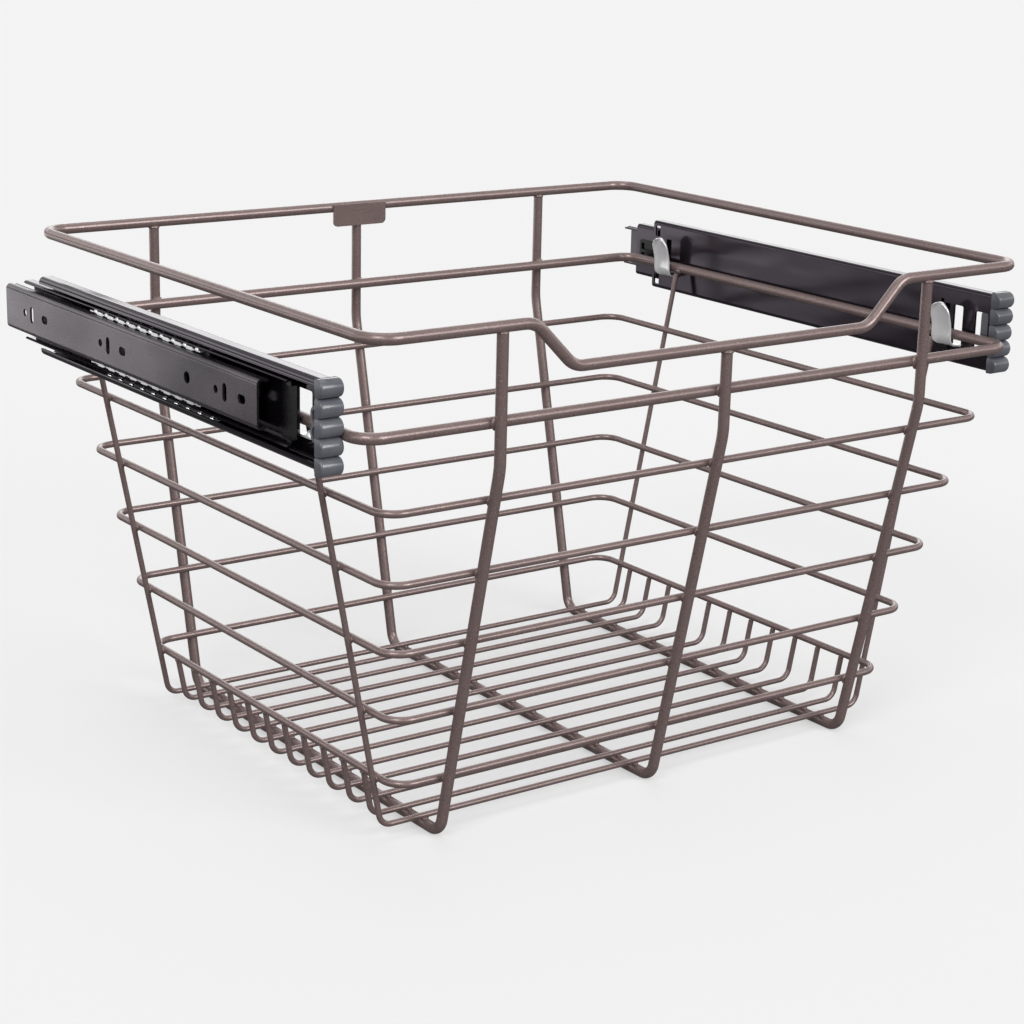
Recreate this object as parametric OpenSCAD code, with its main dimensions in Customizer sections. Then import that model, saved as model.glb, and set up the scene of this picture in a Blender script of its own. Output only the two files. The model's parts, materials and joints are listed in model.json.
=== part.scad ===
// Pull-out cabinet basket on a pair of full-extension ball-bearing slides.
// Millimetres. +X is to the right, the basket pulls out towards -Y, +Z is up.
// The basket stands on the bottoms of its three U-wires, and z = 0 is the surface under them.

/* [Basket] */
// Outside width of the top rim
rim_w = 432; // [380:1:480]
// Outside depth of the top rim
rim_d = 362; // [330:1:420]
// Height from the surface under the feet to the top of the rim
basket_h = 282; // [262:1:300]
// Bend radius of the rim at its corners
rim_corner_r = 14; // [8:1:24]
// How far the front of the rim is lowered
scoop_depth = 24; // [10:1:30]
// Width of the lowered stretch, between the middles of its slopes
scoop_w = 220; // [120:1:240]
// Angle of the slopes at the ends of the lowered stretch
scoop_angle = 45; // [30:1:60]
// Bend radius at the top and foot of those slopes
scoop_bend_r = 14; // [6:1:18]

/* [Rings] */
// How far the ring that carries the slides stands out past the rim, on each side
slide_ring_out = 2; // [0:0.5:8]
// Height of the rim above the slide ring, between wire centres
slide_ring_drop = 48; // [36:1:56]
// Height between neighbouring rings, between wire centres
ring_pitch = 39.2; // [34:0.1:42]
// How far the first thin ring lies inside the rim, between wire centres
first_ring_in = 12.5; // [9:0.5:20]
// How much narrower each next ring is, on each side
ring_step_x = 7.7; // [4:0.1:9]
// Bend radius of the rings at their corners
ring_corner_r = 12; // [8:1:20]

/* [Wires] */
// Diameter of the heavy wire: rim, slide ring and U-wires
heavy_d = 6; // [5:0.1:7]
// Diameter of the thin rings
ring_wire_d = 4; // [3:0.1:4.6]
// Diameter of the floor wires
floor_wire_d = 3.2; // [2.4:0.1:3.6]
// Gap left at each weld, where two wires touch
weld_gap = 0.05; // [0.02:0.01:0.1]

/* [U-wires] */
// Distance between neighbouring U-wires
u_spacing = 141; // [110:1:160]
// Depth below the rim at which the U-wires turn inwards
u_knee_drop = 70; // [62:1:80]
// Lean of the U-wires below that knee
u_lean = 12.7; // [8:0.1:14]
// Bend radius of the knee
u_knee_r = 40; // [20:1:60]
// Bend radius at the feet
u_foot_r = 10; // [7:0.5:13]

/* [Floor] */
// Number of short floor wires, an odd number
short_wires = 11; // [11:1:11]
// Distance between neighbouring short floor wires
floor_pitch = 20.4; // [18:0.1:20.8]
// Distance from the middle of the floor to a long floor wire
long_wire_y = 117; // [114:0.5:117.5]
// Bend radius of the floor wires
floor_bend_r = 7.5; // [5:0.5:12]

/* [Tag plate] */
// Width of the plate on the back rim
tag_w = 38; // [24:1:60]
// Height of the plate
tag_h = 13.5; // [10:0.5:20]
// Thickness of the plate
tag_t = 1; // [0.6:0.1:2]

/* [Slides] */
// Height of the wide channel
slide_h = 45; // [44:0.5:50]
// Thickness of the whole slide
slide_t = 12.7; // [12.4:0.1:14]
// Thickness of the steel sheet
sheet_t = 1.2; // [1:0.05:1.3]
// Length of the wide channel
channel_l = 305; // [302:1:330]
// Length of the middle rail
middle_l = 295; // [292:1:296]
// Length of the cabinet rail
rail_l = 290; // [286:1:291]
// How far the basket can be pulled out from shut
travel = 290; // [250:1:290]
// How far it is pulled out as drawn
drawn_out = 46; // [0:1:100]
// How far forward of the basket's middle the slides are set
slide_forward = 2; // [0:0.5:10]
// Height of the slides' middle above the slide ring
slide_lift = 4.5; // [3:0.1:5]
// Ball diameter
ball_d = 3.6; // [3:0.1:3.8]
// Running gap between a ball and its race
ball_gap = 0.2; // [0.1:0.05:0.3]
// Distance between neighbouring balls of a row
ball_pitch = 12.7; // [10:0.1:13]
// Number of balls in a row
balls = 10; // [6:1:10]

/* [Rail holes] */
// Diameter of the screw holes
screw_d = 4.2; // [3.5:0.1:5]
// Distance from the rail's front end to its first screw hole
first_screw = 41; // [38:0.5:44]
// Distance between the first and the second screw hole
front_screw_gap = 128; // [96:32:128]
// Distance between the second and the third screw hole
rear_screw_gap = 96; // [64:32:96]
// Distance from a screw hole to the upright slot in front of it
slot_offset = 9; // [8:0.5:10]
// Height of the upright slot
slot_h = 9.4; // [7:0.2:12]
// Distance from a screw hole to the lengthwise slot in front of it
long_slot_offset = 26; // [22:0.5:28]
// Length of the lengthwise slot
long_slot_l = 7.5; // [6:0.5:9]
// Width of the lengthwise slot
long_slot_w = 4.6; // [4:0.1:5]
// Diameter of the access hole
access_d = 6.3; // [5:0.1:7]
// Distance from the rail's front end to the access hole
access_from_front = 71; // [66:0.5:76]

/* [Hooks] */
// Width of a hook's foot, along the slide
hook_w = 12; // [9:0.5:12]
// Width of its leaf
leaf_w = 14; // [12:0.5:14.5]
// Thickness of a hook
hook_t = 1.4; // [1:0.1:1.6]
// Height of a hook's tip above the slide's middle
hook_tip_v = 12.5; // [9:0.5:13.5]
// How far a hook's tip stands off the channel
hook_tip_out = 11; // [9:0.1:12]
// Height of the window that a hook sits in
window_h = 24; // [23:0.5:27]
// Distance from the channel's front end to the middle of the front window
front_window = 28; // [24:0.5:28.5]
// Distance from the channel's rear end to the middle of the rear window
rear_window = 21; // [18:0.5:26]

/* [Bumper] */
// Number of lobes on the bumper
lobes = 5; // [5:1:6]
// Height of the bumper
bumper_h = 47; // [45:0.5:50]
// How far the bumper stands out from the channel's front end
bumper_l = 6.5; // [6:0.5:10]
// How deep the grooves between its lobes are in front
lobe_groove = 2.8; // [1:0.1:3.4]
// Radius at the ends of the lobes, seen from the front
lobe_end_r = 1.8; // [0.8:0.1:2.4]
// Radius of the bumper's front corners, seen from above
bumper_corner_r = 4; // [2:0.5:5]
// Length of the catch behind the bumper
catch_l = 9.5; // [8:0.5:10]
// Height of the catch
catch_h = 18; // [14:0.5:19]

/* [Hidden] */

$fn = 48;
bronze = [0.43, 0.36, 0.34];
black_steel = [0.13, 0.12, 0.14];
rail_grey = [0.32, 0.30, 0.33];
zinc = [0.86, 0.86, 0.88];
bright_steel = [0.93, 0.93, 0.95];
dark_plastic = [0.25, 0.26, 0.28];

heavy_r = heavy_d / 2;
ring_r = ring_wire_d / 2;
floor_r = floor_wire_d / 2;

// heights of the wire centres
rim_z = basket_h - heavy_r;
slide_ring_z = rim_z - slide_ring_drop;
foot_z = heavy_r;
floor_z = foot_z + heavy_r + weld_gap + floor_r;
last_ring = 5;
function ring_z(i) = slide_ring_z - i * ring_pitch;

// the U-wires stand under the rim and lean inwards below the knee
rim_half_x = rim_w / 2 - heavy_r;
rim_half_y = rim_d / 2 - heavy_r;
knee_z = rim_z - u_knee_drop;
function u_y(z) = rim_half_y - (z < knee_z ? (knee_z - z) * tan(u_lean) : 0);

// the rings lie against the inside of the U-wires
slide_ring_half_x = rim_half_x + slide_ring_out;
slide_ring_half_y = rim_half_y - 2 * heavy_r - weld_gap;
function ring_half_x(i) = rim_half_x - first_ring_in - (i - 1) * ring_step_x;
function ring_half_y(i) = u_y(ring_z(i)) - (heavy_r + ring_r + weld_gap) / cos(u_lean);

// the ends of the floor wires lean out with the rings' sides
side_lean = atan(ring_step_x / ring_pitch);
function side_x(z) = ring_half_x(last_ring) + (z - ring_z(last_ring)) * tan(side_lean);
outside_x = (ring_r + floor_r + weld_gap) / cos(side_lean);

// the basket's middle lies off the origin, so that the whole object is centred on it
front_end = -rim_d / 2;
rear_end = max(rim_d / 2, rail_l / 2 + drawn_out - slide_forward);
centre_y = -(front_end + rear_end) / 2;

// the slide's section: u is measured outwards from the channel's basket face, v upwards
half_h = slide_h / 2;
race_r = ball_d / 2 + ball_gap + sheet_t / 2;
web_gap = 1;
outer_v = half_h - sheet_t / 2 - race_r;
middle_v = outer_v - race_r;
inner_v = middle_v - race_r;
channel_web = sheet_t / 2;
middle_web = sheet_t + web_gap + sheet_t / 2;
rail_web = slide_t - sheet_t / 2;
outer_u = 6.4;
inner_u = 7.3;
channel_bend = 1.8;
channel_lip = 0.8;
middle_bend = 1.8;
middle_lip_angle = 40;
groove_angle = 58;
crest_r = (rail_web - inner_u - race_r * cos(groove_angle)) / (1 + cos(groove_angle));
crest_u = rail_web - crest_r;
crest_v = inner_v - race_r * sin(groove_angle) - crest_r * sin(groove_angle);
cage_t = 0.6;
cage_hole_spare = 0.3;
cage_hole_d = ball_d + cage_hole_spare;
cage_margin = 5;
cage_l = (balls - 1) * ball_pitch + 2 * cage_margin;
cage_clear = 0.2;

// where each slide member starts along Y as drawn, seen from the channel; pulled right out,
// a cage's front end is its spare length behind the front end of the member that it rolls on
slide_u0 = slide_ring_half_x + heavy_r + weld_gap;
slide_z = slide_ring_z + slide_lift;
channel_front = -channel_l / 2;
middle_front = -rail_l / 2 + drawn_out / 2;
rail_front = -rail_l / 2 + drawn_out;
inner_cage_spare = 2.5;
outer_cage_spare = 12.5;
inner_cage_shut = -rail_l / 2 + travel / 4 + inner_cage_spare;
outer_cage_shut = -rail_l / 2 + travel / 4 + outer_cage_spare;
inner_cage_front = inner_cage_shut + drawn_out * 3 / 4;
outer_cage_front = outer_cage_shut + drawn_out / 4;

window_r = 1.2;
window_w = hook_w + 2 * window_r;
rivet_hole_d = 2.6;
rivet_hole_y = 2.2;
rivet_holes_v = [-6, 13];
catch_window_l = 10;
catch_window_h = 22;
catch_window_from_end = 1.2;
end_slot_l = 5;
end_slot_h = 7;
end_slot_v = 16;
end_slot_from_end = 4.5;
end_slot_r = 0.8;
latch_window_l = 18;
latch_window_h = 15;
latch_window_from_end = 13;
latch_window_r = 2;
seat = 0.02;
lobe_pitch = bumper_h / lobes;
lobe_r = lobe_pitch / 2;
// a bend is a hair thicker than the straight stretches, whose ends reach a hair into it
swell = 0.01;
dig = 0.05;
dig_angle = 1;

function unit(v) = v / norm(v);
// signed angle of the turn at b on the way from a to c
function turn(a, b, c) =
    let (p = b - a, q = c - b)
    atan2(p[0] * q[1] - p[1] * q[0], p[0] * q[0] + p[1] * q[1]);
function set_back(a, b, c, r) = r * tan(abs(turn(a, b, c)) / 2);

// a straight stretch of wire from a to b in the XY plane
module straight_wire(a, b, r)
{
    d = b - a;
    translate([a[0], a[1], 0])
        rotate([0, 0, atan2(d[1], d[0])])
            rotate([0, 90, 0])
                cylinder(h = norm(d), r = r);
}

// one round bend at b, between the stretches a-b and b-c
module wire_bend(a, b, c, r, bend_r)
{
    angle = turn(a, b, c);
    heading = atan2(b[1] - a[1], b[0] - a[0]);
    start = b - unit(b - a) * set_back(a, b, c, bend_r);
    side = angle > 0 ? 90 : -90;
    centre = start + bend_r * [cos(heading + side), sin(heading + side)];
    first = angle > 0 ? heading - 90 : heading + 90 + angle;
    translate([centre[0], centre[1], 0])
        rotate([0, 0, first])
            rotate_extrude(angle = abs(angle))
                translate([bend_r, 0])
                    circle(r = r + swell);
}

// a bent wire through the points p in the XY plane, with a bend radius for each point
module bent_wire(p, r, bends, closed = false)
{
    n = len(p);
    function at(i) = p[(i + n) % n];
    function back(i) = (closed || (i > 0 && i < n - 1))
        ? set_back(at(i - 1), at(i), at(i + 1), bends[i]) - dig : 0;
    for (i = [0 : closed ? n - 1 : n - 2]) {
        d = unit(at(i + 1) - at(i));
        start = at(i) + d * back(i);
        end = at(i + 1) - d * back((i + 1) % n);
        if ((end - start) * d > 2 * dig) straight_wire(start, end, r);
    }
    for (i = [closed ? 0 : 1 : closed ? n - 1 : n - 2])
        wire_bend(at(i - 1), at(i), at(i + 1), r, bends[i]);
}

// a closed rectangular ring of wire
module wire_ring(half_x, half_y, r, corner_r)
{
    bent_wire([[half_x, half_y], [-half_x, half_y], [-half_x, -half_y], [half_x, -half_y]],
              r, [for (i = [1 : 4]) corner_r], closed = true);
}

// turns a shape drawn in XY so that it stands in the XZ plane
module stand_xz() { rotate([90, 0, 0]) children(); }

// turns a shape drawn in XY so that it stands in the YZ plane
module stand_yz() { rotate([90, 0, 90]) children(); }

// the basket's own frame, off the origin along Y
module in_basket() { translate([0, centre_y, 0]) children(); }

module top_rim()
{
    slope = scoop_depth / tan(scoop_angle) / 2;
    low = scoop_w / 2 - slope;
    high = scoop_w / 2 + slope;
    corner = rim_half_x - rim_corner_r;
    color(bronze) in_basket() translate([0, 0, rim_z]) union() {
        bent_wire([[corner, -rim_half_y], [rim_half_x, -rim_half_y], [rim_half_x, rim_half_y],
                   [-rim_half_x, rim_half_y], [-rim_half_x, -rim_half_y], [-corner, -rim_half_y]],
                  heavy_r, [for (i = [1 : 6]) rim_corner_r]);
        translate([0, -rim_half_y, 0]) stand_xz()
            bent_wire([[-corner - dig, 0], [-high, 0], [-low, -scoop_depth],
                       [low, -scoop_depth], [high, 0], [corner + dig, 0]],
                      heavy_r, [for (i = [1 : 6]) scoop_bend_r]);
    }
}

module slide_ring()
{
    color(bronze) in_basket() translate([0, 0, slide_ring_z])
        wire_ring(slide_ring_half_x, slide_ring_half_y, heavy_r, ring_corner_r);
}

module side_ring(i)
{
    color(bronze) in_basket() translate([0, 0, ring_z(i)])
        wire_ring(ring_half_x(i), ring_half_y(i), ring_r, ring_corner_r);
}

// a U-wire at the width x; its front end meets the rim at front_top
module u_wire(x, front_top)
{
    rear_top = rim_z - heavy_r - weld_gap;
    foot_y = u_y(foot_z);
    color(bronze) in_basket() translate([x, 0, 0]) stand_yz()
        bent_wire([[-rim_half_y, front_top], [-rim_half_y, knee_z], [-foot_y, foot_z],
                   [foot_y, foot_z], [rim_half_y, knee_z], [rim_half_y, rear_top]],
                  heavy_r, [0, u_knee_r, u_foot_r, u_foot_r, u_knee_r, 0]);
}
module side_u_wire(x) { u_wire(x, rim_z - heavy_r - weld_gap); }
module middle_u_wire() { u_wire(0, rim_z - heavy_r - weld_gap - scoop_depth); }

// a floor wire at the depth y, whose ends lean out and stop at the height top_z
module floor_wire_at(y, offset_x, top_z)
{
    foot_x = side_x(floor_z) + offset_x;
    top_x = side_x(top_z) + offset_x;
    color(bronze) in_basket() translate([0, y, 0]) stand_xz()
        bent_wire([[-top_x, top_z], [-foot_x, floor_z], [foot_x, floor_z], [top_x, top_z]],
                  floor_r, [0, floor_bend_r, floor_bend_r, 0]);
}
module short_floor_wire(i)
{
    floor_wire_at((i - (short_wires + 1) / 2) * floor_pitch, 0,
                  ring_z(last_ring) - ring_r - weld_gap - floor_r * tan(side_lean));
}
module long_floor_wire(side)
{
    floor_wire_at(side * long_wire_y, outside_x,
                  slide_ring_z - heavy_r - weld_gap - floor_r * tan(side_lean));
}

module tag_plate()
{
    corner_r = 3;
    below_rim_top = 1;
    color(bronze) in_basket()
        translate([0, rim_half_y - heavy_r - weld_gap, rim_z + heavy_r - below_rim_top - tag_h])
            stand_xz() linear_extrude(height = tag_t) union() {
                translate([-tag_w / 2 + corner_r, 0]) square([tag_w - 2 * corner_r, tag_h]);
                translate([-tag_w / 2, corner_r]) square([tag_w, tag_h - corner_r]);
                for (s = [-1, 1])
                    translate([s * (tag_w / 2 - corner_r), corner_r]) circle(r = corner_r);
            }
}

// a slide's own frame on the right side: u becomes X, v becomes Z
module right_slide() { in_basket() translate([slide_u0, -slide_forward, slide_z]) children(); }
// the left slide is the same slide, turned over
module left_slide()
{
    in_basket() translate([-slide_u0, -slide_forward, slide_z]) rotate([0, 180, 0]) children();
}
module on_side(side)
{
    if (side > 0) right_slide() children();
    else left_slide() children();
}

// runs a section drawn as (u, v) along the slide, from front over a length
module run_section(front, length)
{
    translate([0, front + length, 0]) rotate([90, 0, 0]) linear_extrude(height = length) children();
}

// a bent strip of sheet around the centre c, from angle a to angle b
module arc_strip(c, r, a, b, extra = swell)
{
    reach = 3 * (r + sheet_t);
    mid = (a + b) / 2;
    translate(c) intersection() {
        difference() {
            circle(r = r + sheet_t / 2 + extra);
            circle(r = r - sheet_t / 2 - extra);
        }
        polygon([[0, 0], reach * [cos(a), sin(a)], reach * [cos(mid), sin(mid)], reach * [cos(b), sin(b)]]);
    }
}

// a section and its mirror image below
module both_flanges() { children(); mirror([0, 1]) children(); }

// a straight stretch of the section, from one corner to the other
module flat_strip(from, to) { translate(from) square(to - from); }

module channel_section()
{
    web_top = half_h - sheet_t / 2 - channel_bend;
    lip_u = outer_u + race_r - sheet_t / 2;
    flat_strip([0, -web_top - dig], [sheet_t, web_top + dig]);
    both_flanges() {
        arc_strip([channel_web + channel_bend, web_top], channel_bend, 90, 180);
        flat_strip([channel_web + channel_bend - dig, half_h - sheet_t], [outer_u + dig, half_h]);
        arc_strip([outer_u, outer_v], race_r, 0, 90);
        flat_strip([lip_u, outer_v - channel_lip], [lip_u + sheet_t, outer_v + dig]);
    }
}

module middle_section()
{
    web_top = middle_v - middle_bend;
    web_u = middle_web - sheet_t / 2;
    bend_u = middle_web + middle_bend;
    flat_strip([web_u, -web_top - dig], [web_u + sheet_t, web_top + dig]);
    both_flanges() {
        arc_strip([bend_u, web_top], middle_bend, 90, 180);
        flat_strip([bend_u - dig, middle_v - sheet_t / 2], [inner_u + dig, middle_v + sheet_t / 2]);
        arc_strip([inner_u, inner_v], race_r, middle_lip_angle, 90);
    }
}

module rail_section()
{
    flat_strip([slide_t - sheet_t, -crest_v - dig], [slide_t, crest_v + dig]);
    both_flanges() {
        arc_strip([crest_u, crest_v], crest_r, 0, 180 - groove_angle);
        arc_strip([inner_u, inner_v], race_r, 180 + groove_angle, 360 - groove_angle + dig_angle, extra = 0);
    }
}

// a block with rounded corners at (y, v), length along Y and height along Z, from u over a depth
module slot_block(u, depth, y, v, length, height, corner_r)
{
    flat_y = length / 2 - corner_r;
    flat_v = height / 2 - corner_r;
    translate([u, y, v]) rotate([90, 0, 90]) linear_extrude(height = depth) union() {
        if (flat_y > 0) square([2 * flat_y, height], center = true);
        if (flat_v > 0) square([length, 2 * flat_v], center = true);
        for (a = flat_y > 0 ? [-1, 1] : [0], b = flat_v > 0 ? [-1, 1] : [0])
            translate([a * flat_y, b * flat_v]) circle(r = corner_r);
    }
}
// a cutter of the same shape, through a web
module web_slot(u, y, v, length, height, corner_r)
{
    depth = 3 * sheet_t;
    slot_block(u - depth / 2, depth, y, v, length, height, corner_r);
}
// a round hole through a web
module web_hole(u, y, v, d)
{
    depth = 3 * sheet_t;
    translate([u - depth / 2, y, v]) rotate([0, 90, 0]) cylinder(h = depth, d = d);
}

front_window_y = channel_front + front_window;
rear_window_y = channel_front + channel_l - rear_window;

module channel(side)
{
    color(black_steel) on_side(side) difference() {
        run_section(channel_front, channel_l) channel_section();
        for (y = [front_window_y, rear_window_y])
            web_slot(channel_web, y, 0, window_w, window_h, window_r);
        for (v = rivet_holes_v)
            web_hole(channel_web, front_window_y + window_w / 2 + rivet_hole_y, v, rivet_hole_d);
        web_slot(channel_web, channel_front + catch_window_from_end + catch_window_l / 2, 0,
                 catch_window_l, catch_window_h, window_r);
        for (s = [-1, 1])
            web_slot(channel_web, channel_front + channel_l - end_slot_from_end,
                     s * end_slot_v, end_slot_l, end_slot_h, end_slot_r);
    }
}

latch_y = middle_front + middle_l - latch_window_from_end;
module middle_rail(side)
{
    color(black_steel) on_side(side) difference() {
        run_section(middle_front, middle_l) middle_section();
        web_slot(middle_web, latch_y, 0, latch_window_l, latch_window_h, latch_window_r);
    }
}

module cabinet_rail(side)
{
    screws = [first_screw, first_screw + front_screw_gap, first_screw + front_screw_gap + rear_screw_gap];
    color(rail_grey) on_side(side) difference() {
        run_section(rail_front, rail_l) rail_section();
        for (y = screws) {
            web_hole(rail_web, rail_front + y, 0, screw_d);
            web_slot(rail_web, rail_front + y - slot_offset, 0, screw_d, slot_h, screw_d / 2);
            web_slot(rail_web, rail_front + y - long_slot_offset, 0,
                     long_slot_l, long_slot_w, long_slot_w / 2);
        }
        web_hole(rail_web, rail_front + access_from_front, 0, access_d);
    }
}

// a ball cage: a folded strip with a row of holes for the balls in each flange
module ball_cage(side, front, web_u, flange_u, v)
{
    color(zinc) on_side(side) difference() {
        union() {
            translate([web_u, front, -v - cage_t / 2]) cube([cage_t, cage_l, 2 * v + cage_t]);
            for (s = [-1, 1])
                translate([web_u, front, s * v - cage_t / 2]) cube([flange_u - web_u, cage_l, cage_t]);
        }
        for (i = [0 : balls - 1])
            translate([0, front + cage_margin + i * ball_pitch, 0]) children();
    }
}
// the two holes of one pair of balls
module ball_holes(u, v)
{
    for (s = [-1, 1])
        translate([u, 0, s * v - cage_t]) cylinder(h = 2 * cage_t, d = cage_hole_d);
}
// both rows of balls of one cage
module ball_rows(side, front, u, v)
{
    color(bright_steel) on_side(side)
        for (i = [0 : balls - 1], s = [-1, 1])
            translate([u, front + cage_margin + i * ball_pitch, s * v]) sphere(d = ball_d, $fn = 24);
}

inner_cage_u = middle_web + sheet_t / 2 + cage_clear;
outer_cage_u = sheet_t + cage_clear;
// each flange ends past its balls; the outer one stays clear of the channel's lip
lip_clear = 0.3;
inner_flange_u = inner_u + ball_d / 2;
outer_flange_u = outer_u + race_r - sheet_t / 2 - lip_clear;
// the inner cage is a comb: between the balls, the ends of its flanges are folded into teeth
module cage_teeth()
{
    tooth_t = 0.4;
    tooth_in = 1;
    tooth_out = 0.9;
    tooth_clear = 1;
    from_ball = cage_hole_d / 2 + tooth_clear;
    for (i = [0 : balls - 2], s = [0, 1])
        mirror([0, 0, s])
            translate([inner_flange_u - tooth_t,
                       inner_cage_front + cage_margin + i * ball_pitch + from_ball, inner_v - tooth_in])
                cube([tooth_t, ball_pitch - 2 * from_ball, tooth_in + tooth_out]);
}
module inner_cage(side)
{
    ball_cage(side, inner_cage_front, inner_cage_u, inner_flange_u, inner_v) ball_holes(inner_u, inner_v);
    color(zinc) on_side(side) cage_teeth();
}
module inner_balls(side) { ball_rows(side, inner_cage_front, inner_u, inner_v); }
module outer_cage(side)
{
    ball_cage(side, outer_cage_front, outer_cage_u, outer_flange_u, outer_v) ball_holes(outer_u, outer_v);
}
module outer_balls(side) { ball_rows(side, outer_cage_front, outer_u, outer_v); }

// a flat strip of the hook, from a to b in the section
module hook_straight(a, b)
{
    d = b - a;
    translate(a) rotate(atan2(d[1], d[0])) translate([0, -hook_t / 2]) square([norm(d), hook_t]);
}
// a bend of the hook at b
module hook_bend(a, b, c, r)
{
    angle = turn(a, b, c);
    heading = atan2(b[1] - a[1], b[0] - a[0]);
    side = angle > 0 ? 90 : -90;
    start = b - unit(b - a) * set_back(a, b, c, r);
    centre = start + r * [cos(heading + side), sin(heading + side)];
    first = angle > 0 ? heading - 90 : heading + 90 + angle;
    mid = first + abs(angle) / 2;
    last = first + abs(angle);
    reach = 3 * (r + hook_t);
    translate(centre) intersection() {
        difference() {
            circle(r = r + hook_t / 2 + swell);
            circle(r = r - hook_t / 2 - swell);
        }
        polygon([[0, 0], reach * [cos(first), sin(first)], reach * [cos(mid), sin(mid)],
                 reach * [cos(last), sin(last)]]);
    }
}

// the hook's section: out of the window's foot, under the ring's wire and up beside it to a flared tip
module hook_section()
{
    foot_v = -window_h / 2 + seat + hook_t / 2;
    leaf_u = -(2 * heavy_r + 2 * weld_gap + hook_t / 2);
    foot_out = 2;
    foot_bend = 3;
    leaf_bend = 4;
    flare_bend = 12;
    p = [[sheet_t, foot_v], [-foot_out, foot_v], [leaf_u, -slide_lift - heavy_r],
         [leaf_u, -slide_lift + heavy_r], [-hook_tip_out, hook_tip_v]];
    bends = [0, foot_bend, leaf_bend, flare_bend, 0];
    function back(i) = (i > 0 && i < len(p) - 1) ? set_back(p[i - 1], p[i], p[i + 1], bends[i]) - dig : 0;
    for (i = [0 : len(p) - 2]) {
        d = unit(p[i + 1] - p[i]);
        hook_straight(p[i] + d * back(i), p[i + 1] - d * back(i + 1));
    }
    for (i = [1 : len(p) - 2]) hook_bend(p[i - 1], p[i], p[i + 1], bends[i]);
}
// the hook's outline from the basket: a foot, and a wider leaf with a rounded tip
module hook_outline()
{
    foot_rise = 2.4;
    tip_flat = 2;
    tip_r = (leaf_w - tip_flat) / 2;
    tip_top = hook_tip_v + hook_t / 2;
    leaf_low = foot_rise - window_h / 2;
    translate([-hook_w / 2, -window_h / 2]) square([hook_w, window_h / 2]);
    translate([-leaf_w / 2, leaf_low]) square([leaf_w, tip_top - tip_r - leaf_low]);
    translate([-tip_flat / 2, 0]) square([tip_flat, tip_top]);
    for (s = [-1, 1]) translate([s * tip_flat / 2, tip_top - tip_r]) circle(r = tip_r);
}
// both hooks of a side open upwards, so on the left they are mirrored and not turned over
module hook(side, y)
{
    color(zinc) in_basket() translate([side * slide_u0, -slide_forward, slide_z])
        mirror([side < 0 ? 1 : 0, 0, 0]) intersection() {
            run_section(y - leaf_w / 2, leaf_w) hook_section();
            translate([-hook_tip_out - hook_t, y, 0]) rotate([90, 0, 90])
                linear_extrude(height = hook_tip_out + 2 * hook_t) hook_outline();
        }
}

// the bumper's outline from the side: a stack of round lobes on a core
module bumper_profile()
{
    core = bumper_l - lobe_groove;
    translate([-core, lobe_r]) square([core, bumper_h - lobe_pitch]);
    translate([lobe_r - bumper_l, 0]) square([bumper_l - lobe_r, bumper_h]);
    for (i = [0 : lobes - 1])
        translate([lobe_r - bumper_l, (i + 0.5) * lobe_pitch]) circle(r = lobe_r);
}
// the same stack from the front, where each lobe has rounded ends
module bumper_front()
{
    translate([lobe_end_r, 0]) square([slide_t - 2 * lobe_end_r, bumper_h]);
    for (i = [0 : lobes - 1])
        translate([0, (i + 0.5) * lobe_pitch]) tongue(slide_t, lobe_pitch, lobe_end_r);
}
// the bumper's outline from above: rounded at the front corners and cut off square at the channel
module bumper_plan()
{
    r = bumper_corner_r;
    intersection() {
        translate([0, -bumper_l]) square([slide_t, bumper_l]);
        union() {
            translate([0, r - bumper_l]) square([slide_t, bumper_l]);
            translate([r, -bumper_l]) square([slide_t - 2 * r, bumper_l]);
            for (u = [r, slide_t - r]) translate([u, r - bumper_l]) circle(r = r);
        }
    }
}
module bumper(side)
{
    color(dark_plastic) on_side(side)
        translate([0, channel_front - seat, -bumper_h / 2]) intersection() {
            rotate([90, 0, 90]) linear_extrude(height = slide_t) bumper_profile();
            rotate([90, 0, 0]) linear_extrude(height = bumper_l) bumper_front();
            linear_extrude(height = bumper_h) bumper_plan();
        }
}

// the catch: two loops on a root, which sits in the channel's window and stays clear of the shut
// middle rail; the loops enter the end of the cabinet rail when the basket is shut
module catch(side)
{
    middle_clear = 1;
    rail_clear = 2.4;
    root_clear = 1;
    root_in = 0.1;
    u0 = middle_web + sheet_t / 2 + middle_clear;
    u1 = rail_web - sheet_t / 2 - rail_clear;
    root_y = catch_window_from_end + seat;
    root_l = (channel_l - rail_l) / 2 - root_clear - root_y;
    wall = 1.6;
    round_r = 4;
    loop_h = (catch_h + wall) / 2;
    loop_v = (catch_h - loop_h) / 2;
    color(dark_plastic) on_side(side) translate([0, channel_front, 0]) {
        translate([u0, 0, 0]) rotate([90, 0, 90]) linear_extrude(height = u1 - u0)
            difference() {
                for (s = [-1, 1]) translate([0, s * loop_v]) tongue(catch_l, loop_h, round_r);
                for (s = [-1, 1]) translate([wall, s * loop_v])
                    tongue(catch_l - 2 * wall, loop_h - 2 * wall, round_r - wall);
            }
        slot_block(root_in, u0 + dig - root_in, root_y + root_l / 2, 0,
                   root_l, catch_window_h - 2 * seat, window_r);
    }
}
// a rounded rectangle that starts at y = 0 and is centred on v = 0
module tongue(length, height, r)
{
    translate([0, -height / 2 + r]) square([length, height - 2 * r]);
    translate([r, -height / 2]) square([length - 2 * r, height]);
    for (a = [r, length - r], s = [-1, 1]) translate([a, s * (height / 2 - r)]) circle(r = r);
}

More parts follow.
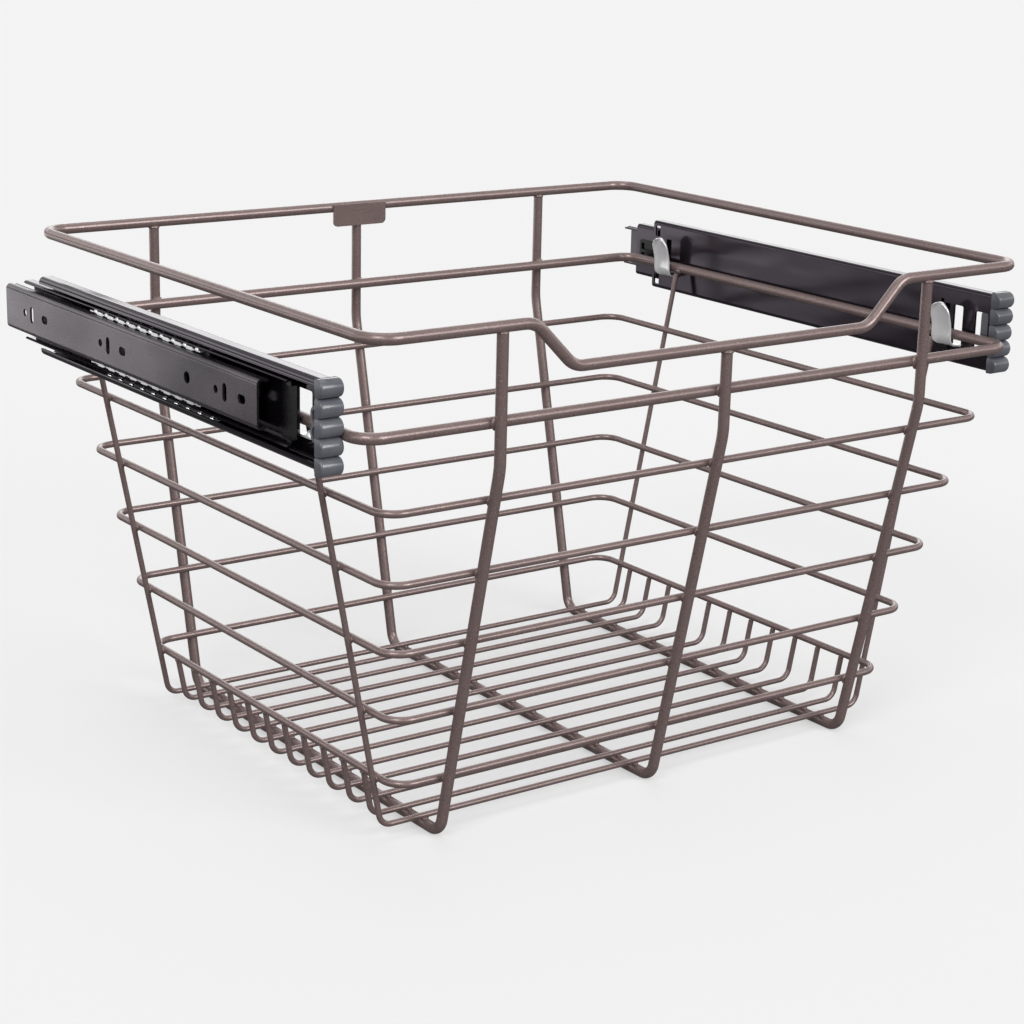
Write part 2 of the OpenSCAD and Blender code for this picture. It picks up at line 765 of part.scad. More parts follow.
// the front stop on the middle rail: a thin plate on its web, with a prong in each ball track
module front_stop()
{
    plate_t = 0.5;
    plate_l = 14;
    prong_l = 4;
    root = 0.2;
    rail_clear = 0.4;
    flange_clear = 0.6;
    u0 = middle_web + sheet_t / 2 + seat;
    plate_top = middle_v - middle_bend - seat;
    prong_low = crest_v + crest_r + sheet_t / 2 + rail_clear;
    prong_top = middle_v - sheet_t / 2 - flange_clear;
    translate([u0, middle_front, -plate_top]) cube([plate_t, plate_l, 2 * plate_top]);
    for (s = [0, 1]) mirror([0, 0, s])
        translate([u0 + plate_t - root, middle_front, prong_low])
            cube([inner_u - u0 - plate_t, prong_l, prong_top - prong_low]);
}
// the rear stop: a block that fills the window in its web, with two blind pockets
module rear_stop()
{
    stands_out = 0.6;
    wall = 2;
    pocket_floor = 0.6;
    pocket_r = 1;
    u0 = middle_web - sheet_t / 2 - stands_out;
    block_t = sheet_t + stands_out;
    block_l = latch_window_l - 2 * seat;
    block_h = latch_window_h - 2 * seat;
    difference() {
        slot_block(u0, block_t, latch_y, 0, block_l, block_h, latch_window_r);
        for (s = [-1, 1])
            slot_block(u0 - block_t, 2 * block_t - pocket_floor, latch_y, s * (block_h - wall) / 4,
                       block_l - 2 * wall, (block_h - 3 * wall) / 2, pocket_r);
    }
}
module end_stop(side)
{
    color(dark_plastic) on_side(side) {
        front_stop();
        rear_stop();
    }
}

top_rim();
slide_ring();
for (i = [1 : last_ring])
    side_ring(i);
side_u_wire(-u_spacing);  // left_u_wire
middle_u_wire();
side_u_wire(u_spacing);  // right_u_wire
long_floor_wire(-1);  // front_floor_wire
long_floor_wire(1);  // rear_floor_wire
for (i = [1 : short_wires])
    short_floor_wire(i);
tag_plate();
for (side = [-1, 1]) {
    name = side < 0 ? "left_" : "right_";
    channel(side);
    middle_rail(side);
    cabinet_rail(side);
    inner_cage(side);
    inner_balls(side);
    outer_cage(side);
    outer_balls(side);
    hook(side, front_window_y);
    hook(side, rear_window_y);
    bumper(side);
    catch(side);
    end_stop(side);
}
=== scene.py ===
"""The looks of a pull-out cabinet basket: its finishes, its welds, the forms of its bumpers and
hooks, and the studio around it."""
import json
import math

import bmesh
import bpy
from mathutils import Euler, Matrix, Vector


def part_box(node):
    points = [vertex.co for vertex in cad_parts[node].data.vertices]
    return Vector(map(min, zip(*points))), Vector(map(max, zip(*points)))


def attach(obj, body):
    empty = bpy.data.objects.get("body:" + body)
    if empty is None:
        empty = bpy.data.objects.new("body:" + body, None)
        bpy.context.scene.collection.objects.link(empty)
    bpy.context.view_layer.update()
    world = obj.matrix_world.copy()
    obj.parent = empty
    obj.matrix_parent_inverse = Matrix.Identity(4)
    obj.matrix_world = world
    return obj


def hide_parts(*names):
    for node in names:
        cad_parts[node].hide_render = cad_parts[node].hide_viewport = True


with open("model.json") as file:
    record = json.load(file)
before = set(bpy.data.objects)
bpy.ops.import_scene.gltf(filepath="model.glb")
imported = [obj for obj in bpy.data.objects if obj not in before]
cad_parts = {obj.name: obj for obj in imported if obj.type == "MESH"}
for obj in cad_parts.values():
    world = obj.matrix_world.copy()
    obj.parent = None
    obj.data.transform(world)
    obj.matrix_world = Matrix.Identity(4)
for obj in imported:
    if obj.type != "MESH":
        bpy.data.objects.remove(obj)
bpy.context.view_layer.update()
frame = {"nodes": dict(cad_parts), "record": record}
nodes = frame["nodes"]
MM = 0.001
WHITE = (1.0, 1.0, 1.0, 1.0)


def new_object(name, data):
    """A new object that is linked to the scene."""
    made = bpy.data.objects.new(name, data)
    bpy.context.scene.collection.objects.link(made)
    return made


# ---------------------------------------------------------------- writing nodes

class Socket:
    """One output of a node. Arithmetic on it adds Math nodes."""

    def __init__(self, writer, output):
        self.writer = writer
        self.output = output

    def calculate(self, operation, *values, clamp=False):
        settings = {"operation": operation, "use_clamp": clamp}
        return self.writer.node("ShaderNodeMath", settings, dict(enumerate(values)))

    def __add__(self, other):
        return self.calculate("ADD", self, other)

    def __sub__(self, other):
        return self.calculate("SUBTRACT", self, other)

    def __rsub__(self, other):
        return self.calculate("SUBTRACT", other, self)

    def __mul__(self, other):
        return self.calculate("MULTIPLY", self, other)

    __radd__ = __add__
    __rmul__ = __mul__

    def clamped(self):
        return self.calculate("ADD", self, 0.0, clamp=True)


class Writer:
    """Adds nodes to one tree, each with its settings and its sockets' values or links."""

    def __init__(self, tree):
        self.tree = tree

    def node(self, kind, settings, sockets, output=0):
        made = self.tree.nodes.new(kind)
        for name, value in settings.items():
            setattr(made, name, value)
        for key, value in sockets.items():
            if isinstance(value, Socket):
                self.tree.links.new(value.output, made.inputs[key])
            else:
                made.inputs[key].default_value = value
        return Socket(self, made.outputs[output])

    def camera_and_gloss(self):
        """Two switches, each 1 for one kind of ray: what the camera sees, and what gloss sees."""
        return [self.node("ShaderNodeLightPath", {}, {}, output="Is %s Ray" % kind)
                for kind in ("Camera", "Glossy")]


class Finish(Writer):
    """A material with one Principled shader, whose fixed values sit on the shader's own sockets."""

    def __init__(self, name, **fixed):
        self.material = bpy.data.materials.new(name)
        self.material.use_nodes = True
        super().__init__(self.material.node_tree)
        self.shader = self.tree.nodes["Principled BSDF"]
        for label, value in fixed.items():
            self.shader.inputs[label.replace("_", " ")].default_value = value

    def place(self, stretch=(1.0, 1.0, 1.0)):
        """A point's place in the object's own frame, in metres, squeezed along its axes."""
        point = self.node("ShaderNodeTexCoord", {}, {}, output="Object")
        return self.node("ShaderNodeMapping", {}, {"Vector": point, "Scale": stretch})

    def noise(self, size, detail=2.0, stretch=(1.0, 1.0, 1.0)):
        """Cloudy noise from 0 to 1 whose patches are about size metres across."""
        sockets = {"Vector": self.place(stretch), "Scale": 1 / size, "Detail": detail}
        return self.node("ShaderNodeTexNoise", {}, sockets, output="Fac")

    def blend(self, factor, first, second):
        """A colour between two colours."""
        sockets = {"Factor": factor, 6: first, 7: second}
        return self.node("ShaderNodeMix", {"data_type": "RGBA"}, sockets, output=2)

    def bump(self, height, depth, strength=1.0):
        """Small relief, depth metres deep where height goes from 0 to 1."""
        sockets = {"Height": height, "Distance": depth, "Strength": strength}
        return self.node("ShaderNodeBump", {}, sockets, output="Normal")

    def feed(self, label, socket):
        self.tree.links.new(socket.output, self.shader.inputs[label])


def colour(red, green, blue):
    """A screen colour, given as 0 to 255, as the linear colour that a shader takes."""
    def linear(value):
        value /= 255
        return value / 12.92 if value <= 0.04045 else ((value + 0.055) / 1.055) ** 2.4
    return (linear(red), linear(green), linear(blue), 1.0)


# ---------------------------------------------------------------- finishes

def bronze_powder_coat():
    """Satin powder coat in dark bronze, with fine light flakes and a faint orange peel."""
    coat = Finish("bronze powder coat", IOR=1.5, Metallic=0.38)
    cloud = coat.noise(0.03, 3.0)
    least, contrast = 0.62, 5.0
    flakes = ((coat.noise(0.0007, 1.0) - least) * contrast).clamped()
    peel = coat.noise(0.0018, 2.0)
    base = coat.blend(cloud, colour(120, 103, 101), colour(137, 119, 117))
    coat.feed("Base Color", coat.blend(flakes, base, colour(182, 162, 154)))
    coat.feed("Roughness", 0.23 + 0.12 * peel)
    coat.feed("Normal", coat.bump(peel, 0.00002))
    return coat.material


def black_enamel():
    """Glossy black coat with a purple cast, over rolled steel that is never quite flat."""
    enamel = Finish("black enamel", IOR=1.52, Specular_Tint=(0.97, 0.80, 1.0, 1.0))
    haze = enamel.noise(0.03, 3.0, stretch=(1.0, 0.25, 1.0))
    waves = enamel.noise(0.022, 1.0, stretch=(1.0, 0.35, 1.0))
    enamel.feed("Base Color", enamel.blend(haze, colour(8, 6, 9), colour(20, 16, 23)))
    enamel.feed("Roughness", 0.1 + 0.1 * haze)
    enamel.feed("Normal", enamel.bump(waves, 0.0006))
    return enamel.material


def satin_rail_coat():
    """Satin grey coat on the rails that screw to the cabinet, drawn lengthwise by the rolls."""
    coat = Finish("satin rail coat", IOR=1.5)
    middle, contrast = 0.5, 2.4
    cloud = coat.noise(0.045, 3.0, stretch=(1.0, 0.45, 1.0))
    haze = ((cloud - middle) * contrast + middle).clamped()
    grain = coat.noise(0.0006, 2.0, stretch=(1.0, 0.1, 1.0))
    coat.feed("Base Color", coat.blend(haze, colour(62, 57, 62), colour(110, 103, 109)))
    coat.feed("Metallic", 0.7 + 0.15 * haze)
    coat.feed("Roughness", 0.22 + 0.08 * grain)
    coat.feed("Normal", coat.bump(grain, 0.00001))
    return coat.material


def bright_zinc():
    """Bright zinc plate on the ball cages, with the streaks of rolled strip."""
    plate = Finish("bright zinc", Metallic=0.6)
    streaks = plate.noise(0.002, 3.0, stretch=(1.0, 0.08, 1.0))
    plate.feed("Base Color", plate.blend(streaks, colour(208, 208, 213), colour(238, 238, 240)))
    plate.feed("Roughness", 0.2 + 0.16 * streaks)
    return plate.material


def bearing_steel():
    """Polished steel of the balls."""
    steel = Finish("bearing steel", Metallic=1.0)
    haze = steel.noise(0.0015, 2.0)
    steel.feed("Base Color", steel.blend(haze, colour(222, 222, 226), colour(240, 240, 242)))
    steel.feed("Roughness", 0.05 + 0.05 * haze)
    return steel.material


def hook_nickel():
    """Bright nickel of the spring hooks, slightly uneven from its stamping."""
    nickel = Finish("hook nickel", Metallic=0.35)
    waves = nickel.noise(0.006, 1.0)
    haze = nickel.noise(0.0015, 3.0)
    nickel.feed("Base Color", nickel.blend(haze, colour(240, 240, 243), colour(251, 251, 252)))
    nickel.feed("Roughness", 0.14 + 0.1 * haze)
    nickel.feed("Normal", nickel.bump(waves, 0.0002, 0.6))
    return nickel.material


def grained_plastic(name, dark, light, roughness, ior=1.5):
    """Moulded plastic with a fine spark-eroded grain."""
    plastic = Finish(name, IOR=ior)
    cloud = plastic.noise(0.012, 2.0)
    grain = plastic.noise(0.0005, 2.0)
    plastic.feed("Base Color", plastic.blend(cloud, dark, light))
    plastic.feed("Roughness", roughness + 0.12 * grain)
    plastic.feed("Normal", plastic.bump(grain, 0.00003))
    return plastic.material


FINISHES = {
    "bronze_coat": bronze_powder_coat(),
    "black_enamel": black_enamel(),
    "dark_rail": satin_rail_coat(),
    "zinc": bright_zinc(),
    "ball_steel": bearing_steel(),
    "hook_zinc": hook_nickel(),
    "dark_plastic": grained_plastic(
        "bumper plastic", colour(82, 84, 91), colour(108, 110, 117), roughness=0.13),
    "black_plastic": grained_plastic(
        "end stop plastic", colour(5, 4, 6), colour(11, 10, 13), roughness=0.2, ior=1.3),
}
FINISHES["tag_plate"] = FINISHES["bronze_coat"]


def coat_the_model():
    """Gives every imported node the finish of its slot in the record."""
    for row in frame["record"]["subparts"]:
        slots = nodes[row["node"]].data.materials
        slots.clear()
        slots.append(FINISHES[row["material_slot"]])


coat_the_model()


# ---------------------------------------------------------------- welds

RINGS = ["side_ring_%d" % number for number in range(1, 6)]
U_WIRES = ["left_u_wire", "middle_u_wire", "right_u_wire"]
SHORT_FLOOR_WIRES = ["floor_wire_%d" % number for number in range(1, 12)]
LONG_FLOOR_WIRES = ["front_floor_wire", "rear_floor_wire"]


class Span:
    """A node's box at rest: its two corners, its middle and its thinnest side."""

    def __init__(self, name):
        low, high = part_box(name)
        self.low = Vector(low)
        self.high = Vector(high)
        self.middle = (self.low + self.high) / 2
        self.thickness = min(self.high - self.low)


class WeldPlan:
    """The places of the welds, with the way from one wire to the other and each bead's reach."""

    def __init__(self):
        self.places = []
        self.facings = []
        self.reaches = []

    def add(self, place, facing, reach, height):
        self.places.append(place)
        self.facings.append(facing)
        self.reaches.append((reach, reach, height))


def tapered_normals():
    """The slopes of the basket's front and of its side, as normals that point out and down."""
    first, last = Span(RINGS[0]), Span(RINGS[-1])
    drop = first.middle.z - last.middle.z
    front = Vector((0, -drop, -(first.high.y - last.high.y))).normalized()
    side = Vector((drop, 0, -(first.high.x - last.high.x))).normalized()
    return front, side


def plan_welds():
    """Finds every weld of the basket from the boxes of the wires that meet there."""
    plan = WeldPlan()
    rim, slide_ring = Span("top_rim"), Span("slide_ring")
    heavy_r = slide_ring.thickness / 2
    ring_r = Span(RINGS[0]).thickness / 2
    floor_r = Span(SHORT_FLOOR_WIRES[0]).thickness / 2
    front_normal, side_normal = tapered_normals()
    cross_reach, cross_height = 1.35, 0.5
    butt_reach, butt_height = 1.14, 0.5
    ring_end_reach, ring_end_height = 0.7, 0.8
    plate_reach, plate_height = 0.8, 0.3

    def crossing(place, facing, wire_r):
        plan.add(place, facing, cross_reach * wire_r, cross_height * wire_r)

    def butt(place, facing, wire_r):
        plan.add(place, facing, butt_reach * wire_r, butt_height * wire_r)

    for name in U_WIRES:
        wire = Span(name)
        x = wire.middle.x
        for side in (-1, 1):
            face_y = slide_ring.low.y if side < 0 else slide_ring.high.y
            crossing(Vector((x, face_y, slide_ring.middle.z)), Vector((0, side, 0)), heavy_r)
            facing = Vector((0, -side * front_normal.y, front_normal.z))
            for ring_name in RINGS:
                ring = Span(ring_name)
                centre_y = (ring.low.y + ring_r) if side < 0 else (ring.high.y - ring_r)
                crossing(Vector((x, centre_y, ring.middle.z)) + facing * ring_r, facing, ring_r)
            lowered = side < 0 and name == "middle_u_wire"
            top_z = rim.low.z if lowered else wire.high.z
            rim_y = (rim.low.y + heavy_r) if side < 0 else (rim.high.y - heavy_r)
            butt(Vector((x, rim_y, top_z)), Vector((0, 0, 1)), heavy_r)
        for floor_name in SHORT_FLOOR_WIRES + LONG_FLOOR_WIRES:
            y = Span(floor_name).middle.y
            crossing(Vector((x, y, wire.low.z + 2 * heavy_r)), Vector((0, 0, 1)), floor_r)

    lowest = Span(RINGS[-1])
    for side in (-1, 1):
        for name in SHORT_FLOOR_WIRES:
            x = side * (lowest.high.x - ring_r)
            butt(Vector((x, Span(name).middle.y, lowest.low.z)), Vector((0, 0, 1)), floor_r)
        facing = Vector((side * side_normal.x, 0, side_normal.z))
        for name in LONG_FLOOR_WIRES:
            y = Span(name).middle.y
            for ring_name in RINGS:
                ring = Span(ring_name)
                centre = Vector((side * (ring.high.x - ring_r), y, ring.middle.z))
                crossing(centre + facing * ring_r, facing, floor_r)
            inwards = Vector((-side, 0, -1)).normalized()
            ring_centre = Vector((side * (slide_ring.high.x - heavy_r), y, slide_ring.middle.z))
            plan.add(ring_centre + inwards * heavy_r, inwards,
                     heavy_r * ring_end_reach, floor_r * ring_end_height)

    plate = Span("tag_plate")
    spacing = (plate.high.x - plate.low.x) / 3
    for step in (-1, 0, 1):
        place = Vector((step * spacing, plate.high.y, rim.high.z - heavy_r))
        plan.add(place, Vector((0, 1, 0)), heavy_r * plate_reach, heavy_r * plate_height)
    return plan


def plan_as_points(plan):
    """The plan as an object of loose points that carry each bead's facing and reach."""
    mesh = bpy.data.meshes.new("weld plan")
    mesh.from_pydata([tuple(place) for place in plan.places], [], [])
    for name, rows in (("facing", plan.facings), ("reach", plan.reaches)):
        attribute = mesh.attributes.new(name, "FLOAT_VECTOR", "POINT")
        attribute.data.foreach_set("vector", [value for row in rows for value in row])
    return new_object("weld plan", mesh)


def weld_bead_tree():
    """A geometry tree that sets one slightly uneven bead on each point."""
    tree = bpy.data.node_groups.new("weld beads", "GeometryNodeTree")
    inputs = [("Places", "Geometry"), ("Spread", "Float"), ("Ripple", "Float"),
              ("Ripple size", "Float"), ("Seed", "Int"), ("Coat", "Material")]
    for label, kind in inputs:
        tree.interface.new_socket(label, in_out="INPUT", socket_type="NodeSocket" + kind)
    tree.interface.new_socket("Beads", in_out="OUTPUT", socket_type="NodeSocketGeometry")
    writer = Writer(tree)
    given = tree.nodes.new("NodeGroupInput")

    def entry(label):
        return Socket(writer, given.outputs[label])

    def named(label):
        return writer.node("GeometryNodeInputNamedAttribute", {"data_type": "FLOAT_VECTOR"},
                           {"Name": label}, "Attribute")

    def scaled(vector, factor):
        return writer.node("ShaderNodeVectorMath", {"operation": "SCALE"},
                           {0: vector, "Scale": factor})

    drop = writer.node("GeometryNodeMeshIcoSphere", {}, {"Radius": 1.0, "Subdivisions": 2}, "Mesh")
    turn = writer.node("FunctionNodeAlignRotationToVector", {"axis": "Z"},
                       {"Vector": named("facing")})
    least, most = 2, 3
    chance = writer.node("FunctionNodeRandomValue", {"data_type": "FLOAT"},
                         {least: 1.0 - entry("Spread"), most: 1.0 + entry("Spread"),
                          "Seed": entry("Seed")}, output=1)
    size = scaled(named("reach"), chance)
    cloud_of_points = writer.node("GeometryNodeMeshToPoints", {}, {"Mesh": entry("Places")})
    set_out = writer.node("GeometryNodeInstanceOnPoints", {},
                          {"Points": cloud_of_points, "Instance": drop, "Rotation": turn,
                           "Scale": size})
    real = writer.node("GeometryNodeRealizeInstances", {}, {"Geometry": set_out})
    noise = writer.node("ShaderNodeTexNoise", {}, {"Scale": entry("Ripple size"), "Detail": 1.0},
                        "Fac")
    normal = writer.node("GeometryNodeInputNormal", {}, {})
    shift = scaled(normal, (noise - 0.5) * entry("Ripple"))
    rippled = writer.node("GeometryNodeSetPosition", {}, {"Geometry": real, "Offset": shift})
    smooth = writer.node("GeometryNodeSetShadeSmooth", {},
                         {"Geometry": rippled, "Shade Smooth": True})
    beads = writer.node("GeometryNodeSetMaterial", {},
                        {"Geometry": smooth, "Material": entry("Coat")})
    for label in ("facing", "reach"):
        beads = writer.node("GeometryNodeRemoveAttribute", {}, {"Geometry": beads, "Name": label})
    result = tree.nodes.new("NodeGroupOutput")
    tree.links.new(beads.output, result.inputs["Beads"])
    return tree


def lay_welds():
    """Sets a bead at each weld and makes the beads one plain mesh on the basket."""
    points = plan_as_points(plan_welds())
    modifier = points.modifiers.new("beads", "NODES")
    modifier.node_group = weld_bead_tree()
    sizes = {"Spread": 0.12, "Ripple": 0.0006, "Ripple size": 700.0, "Seed": 17,
             "Coat": FINISHES["bronze_coat"]}
    for item in modifier.node_group.interface.items_tree:
        if item.in_out == "INPUT" and item.name in sizes:
            modifier[item.identifier] = sizes[item.name]
    depsgraph = bpy.context.evaluated_depsgraph_get()
    mesh = bpy.data.meshes.new_from_object(points.evaluated_get(depsgraph))
    bpy.data.objects.remove(points)
    beads = new_object("weld_beads", mesh)
    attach(beads, "basket")


lay_welds()


# ---------------------------------------------------------------- bumpers and hooks

RIM_POINTS = 3
HOOK_BENDS = [(0.2, 0.6), (3.0, 0.6), (5.6, 1.2), (8.3, 4.3), (8.4, 9.0), (8.8, 13.5),
              (10.6, 19.5), (12.4, 26.3)]


def corners(node):
    """The two corners of a node's box."""
    return [Vector(corner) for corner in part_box(node)]


def stand_for(node, shape, sharp_angle):
    """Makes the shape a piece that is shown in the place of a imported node."""
    bmesh.ops.recalc_face_normals(shape, faces=shape.faces)
    mesh = bpy.data.meshes.new(node + "_form")
    shape.to_mesh(mesh)
    shape.free()
    mesh.shade_smooth()
    mesh.set_sharp_from_angle(angle=math.radians(sharp_angle))
    rows = frame["record"]["subparts"]
    slot = next(row["material_slot"] for row in rows if row["node"] == node)
    mesh.materials.append(FINISHES[slot])
    piece = new_object(node + "_form", mesh)
    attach(piece, "basket")
    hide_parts(node)


def join_loops(shape, loops):
    """Joins closed loops of points into one skin with open ends, and returns their vertices."""
    rows = [[shape.verts.new(point) for point in loop] for loop in loops]
    for first, second in zip(rows, rows[1:]):
        for here in range(len(first)):
            there = (here + 1) % len(first)
            shape.faces.new((first[here], first[there], second[there], second[here]))
    return rows


def run_along_x(shape, outline, start, end, edge):
    """Runs an outline along X and rounds its ends. outline(inset) gives the points (y, z)."""
    steps = 5
    curve = [math.pi / 2 * step / steps for step in range(steps + 1)]
    rounding = [(edge * (1 - math.sin(angle)), edge * (1 - math.cos(angle))) for angle in curve]
    stops = [(start + away, inset) for away, inset in reversed(rounding)]
    stops += [(end - away, inset) for away, inset in rounding]
    rows = join_loops(shape, [[(x, y, z) for y, z in outline(inset)] for x, inset in stops])
    shape.faces.new(rows[0])
    shape.faces.new(rows[-1])


def lobed_bumper(node, lobes=5):
    """Soft round lobes side by side on a thin plate, which closes the channel's front end."""
    low, high = corners(node)
    radius = (high.z - low.z) / lobes / 2
    middle_y = low.y + radius
    groove_floor = middle_y - 0.45 * MM
    plate_corner, plate_inset, plate_edge = 1.4 * MM, 0.3 * MM, 0.5 * MM
    lobe_edge = 1.1 * MM
    sharp_angle = 50
    steps = 24

    def lobe(middle_z):
        def outline(inset):
            bend = radius - inset
            angles = [math.pi * step / steps for step in range(steps + 1)]
            arc = [(middle_y - bend * math.sin(angle), middle_z + bend * math.cos(angle))
                   for angle in angles]
            return [(high.y, middle_z + bend)] + arc + [(high.y, middle_z - bend)]
        return outline

    def plate(inset):
        front, bottom, top = groove_floor + inset, low.z + inset, high.z - inset
        return [(high.y, bottom), (front + plate_corner, bottom), (front, bottom + plate_corner),
                (front, top - plate_corner), (front + plate_corner, top), (high.y, top)]

    shape = bmesh.new()
    run_along_x(shape, plate, low.x + plate_inset, high.x - plate_inset, plate_edge)
    for number in range(lobes):
        run_along_x(shape, lobe(low.z + (2 * number + 1) * radius), low.x, high.x, lobe_edge)
    stand_for(node, shape, sharp_angle)


def cut_corners(points, times):
    """Rounds a broken line by cutting its corners off again and again."""
    for _ in range(times):
        cut = [points[0]]
        for first, second in zip(points, points[1:]):
            cut += [first.lerp(second, 0.25), first.lerp(second, 0.75)]
        points = cut + [points[-1]]
    return points


def sheet_loop(half_width, dish, sheet, steps):
    """The outline of a dished sheet's cross-section, as points (across, back): along one face,
    round a rim, back along the other face and round the other rim."""
    curl, bowl = 5, 0.12

    def point(side, turn):
        depth = dish * (abs(side) ** curl + bowl * side * side)
        rim_slope = curl * abs(side) ** (curl - 1) * math.copysign(1, side)
        slope = dish * (rim_slope + 2 * bowl * side)
        aim = math.atan2(slope, half_width) + math.pi / 2 + turn
        return (half_width * side + math.cos(aim) * sheet / 2, depth + math.sin(aim) * sheet / 2)

    sides = [2 * step / steps - 1 for step in range(steps + 1)]
    turns = [math.pi * number / (RIM_POINTS + 1) for number in range(1, RIM_POINTS + 1)]
    first_face = [point(side, 0) for side in sides]
    first_rim = [point(1, -turn) for turn in turns]
    second_face = [point(side, math.pi) for side in reversed(sides)]
    second_rim = [point(-1, math.pi - turn) for turn in turns]
    return first_face + first_rim + second_face + second_rim


def close_sheet_end(shape, row, steps):
    """Closes one end of a dished sheet with a strip of quads between its two faces."""
    second = steps + 1 + RIM_POINTS
    for here in range(steps):
        there = second + steps - here
        shape.faces.new((row[here], row[here + 1], row[there - 1], row[there]))
    shape.faces.new(row[steps:second + 1])
    shape.faces.new([row[0]] + row[second + steps:])


def spring_hook(node):
    """A pressed leaf with rolled edges: its foot lies in the window, its back under and behind the
    ring's wire, and its tip flares towards the basket."""
    low, high = corners(node)
    on_left = node.startswith("left")
    inwards = 1 if on_left else -1
    foot_x = low.x if on_left else high.x
    middle_y = (low.y + high.y) / 2
    wider_than_solid, foot_narrower = 0.6 * MM, 1.6 * MM
    half_leaf = (high.y - low.y) / 2 + wider_than_solid
    half_foot = half_leaf - foot_narrower
    sheet, dish = 1.0 * MM, 1.7 * MM
    dish_start, dish_run = 4 * MM, 5 * MM
    tip_round, tip_cut = 6.5 * MM, 0.86
    sharp_angle = 60
    steps = 20
    line = cut_corners([Vector(point) * MM for point in HOOK_BENDS], 3)
    length = sum((second - first).length for first, second in zip(line, line[1:]))
    loops = []
    walked = 0.0
    for index, point in enumerate(line):
        before, after = line[max(index - 1, 0)], line[min(index + 1, len(line) - 1)]
        way = (after - before).normalized()
        back = Vector((-way.y, way.x))
        walked += (point - before).length
        from_round = max(0.0, 1 - (length - walked) / tip_round)
        narrowing = math.sqrt(max(0.0, 1 - tip_cut * from_round ** 2))
        opened = min(1.0, max(0.0, (walked - dish_start) / dish_run))
        width = (half_foot + (half_leaf - half_foot) * opened) * narrowing - sheet / 2
        loop = []
        for across, depth in sheet_loop(width, dish * opened, sheet, steps):
            away = point - back * depth
            loop.append((foot_x + inwards * away.x, middle_y + across, low.z + away.y))
        loops.append(loop)
    shape = bmesh.new()
    rows = join_loops(shape, loops)
    close_sheet_end(shape, rows[0], steps)
    close_sheet_end(shape, rows[-1], steps)
    stand_for(node, shape, sharp_angle)


for slide in ("left", "right"):
    lobed_bumper(slide + "_bumper")
    for place in ("front", "rear"):
        spring_hook("%s_%s_hook" % (slide, place))


# ---------------------------------------------------------------- studio

def look_at_photo_place():
    """The camera, where the photograph was taken from."""
    data = bpy.data.cameras.new("camera")
    camera = new_object("camera", data)
    data.sensor_width = 36.0
    data.lens = 82.385
    data.clip_end = 50.0
    heading, pitch, roll = math.radians(36.035), math.radians(-15.868), math.radians(1.356)
    turned = Euler((0, 0, -heading)).to_matrix()
    tilted = Euler((math.pi / 2 + pitch, 0, 0)).to_matrix()
    rolled = Euler((0, 0, roll)).to_matrix()
    camera.matrix_world = (turned @ tilted @ rolled).to_4x4()
    camera.location = Vector((-776.89, -1066.75, 497.56)) * MM
    bpy.context.scene.camera = camera


def soft_sun(name, heading, height, spread, strength):
    """An even lamp from far away, so that the whole floor is lit alike. Its heading is the way that
    its light travels, clockwise from +Y, and all angles are in degrees."""
    data = bpy.data.lights.new(name, "SUN")
    data.energy = strength
    data.angle = math.radians(spread)
    lamp = new_object(name, data)
    lamp.rotation_euler = (math.radians(90 - height), 0, math.radians(-heading))


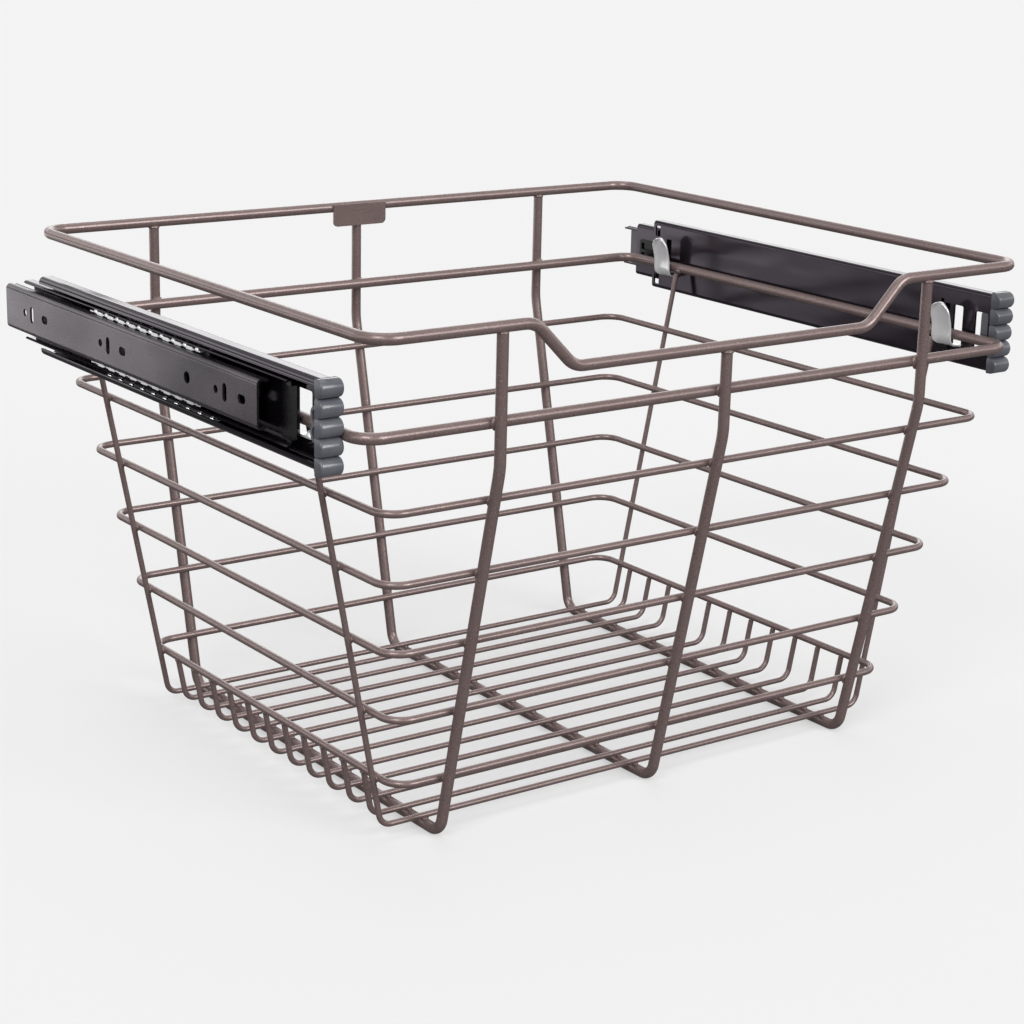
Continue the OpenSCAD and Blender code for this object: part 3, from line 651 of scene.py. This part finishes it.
def pale_world():
    """Even light from all round. The camera sees it white. Gloss sees it brighten upwards, with a
    bright band low all round, which draws the thin light lines along the wires."""
    world = bpy.data.worlds.new("studio")
    bpy.context.scene.world = world
    world.use_nodes = True
    writer = Writer(world.node_tree)
    camera_ray, glossy_ray = writer.camera_and_gloss()
    direction = writer.node("ShaderNodeTexCoord", {}, {}, output="Generated")
    height = writer.node("ShaderNodeSeparateXYZ", {}, {"Vector": direction}, output="Z")
    even_light, white, horizon, rise = 0.45, 0.93, 0.3, 0.5
    in_band, band_low, band_high, band_edge = 1.5, 0.15, 0.45, 12.0
    above, below = (height - band_low) * band_edge, (band_high - height) * band_edge
    band = above.clamped() * below.clamped()
    in_gloss = horizon + rise * height.clamped() + in_band * band
    strength = even_light + (white - even_light) * camera_ray + (in_gloss - even_light) * glossy_ray
    background = writer.tree.nodes["Background"]
    background.inputs["Color"].default_value = WHITE
    writer.tree.links.new(strength.output, background.inputs["Strength"])


def pale_floor():
    """A floor that reaches past the horizon of every view. The camera sees it almost white. It
    sends less light back up. Gloss sees it dark, with a bright strip some way behind the basket,
    which the slides mirror at their middles, and a bright field from there on."""
    half = 12.0
    mesh = bpy.data.meshes.new("floor")
    square = [(-half, -half, 0), (half, -half, 0), (half, half, 0), (-half, half, 0)]
    mesh.from_pydata(square, [], [(0, 1, 2, 3)])
    floor = new_object("floor", mesh)
    paint = Finish("floor paint", Roughness=1.0, Emission_Color=WHITE, Specular_IOR_Level=0.0)
    camera_ray, glossy_ray = paint.camera_and_gloss()
    depth = paint.node("ShaderNodeSeparateXYZ", {}, {"Vector": paint.place()}, output="Y")
    albedo, glow_for_camera, dark_in_gloss = 0.4, 0.48, 0.12
    strip_start, strip_end, field_start, rise = 0.78, 1.08, 1.1, 7.0
    in_strip, in_field = 1.6, 1.7
    strip = ((depth - strip_start) * rise).clamped() * ((strip_end - depth) * rise).clamped()
    field = ((depth - field_start) * rise).clamped()
    in_gloss = dark_in_gloss + in_strip * strip + in_field * field
    paint.feed("Base Color", albedo - albedo * glossy_ray)
    paint.feed("Emission Strength", glow_for_camera * camera_ray + in_gloss * glossy_ray)
    paint.material.cycles.emission_sampling = "NONE"
    mesh.materials.append(paint.material)


look_at_photo_place()
pale_world()
pale_floor()
soft_sun("key", heading=55, height=42, spread=28, strength=1.2)
soft_sun("fill", heading=-20, height=27, spread=30, strength=1.5)
soft_sun("top", heading=-150, height=72, spread=40, strength=0.35)
soft_sun("rim", heading=216, height=16, spread=30, strength=0.22)
bpy.context.scene.view_settings.view_transform = "Standard"
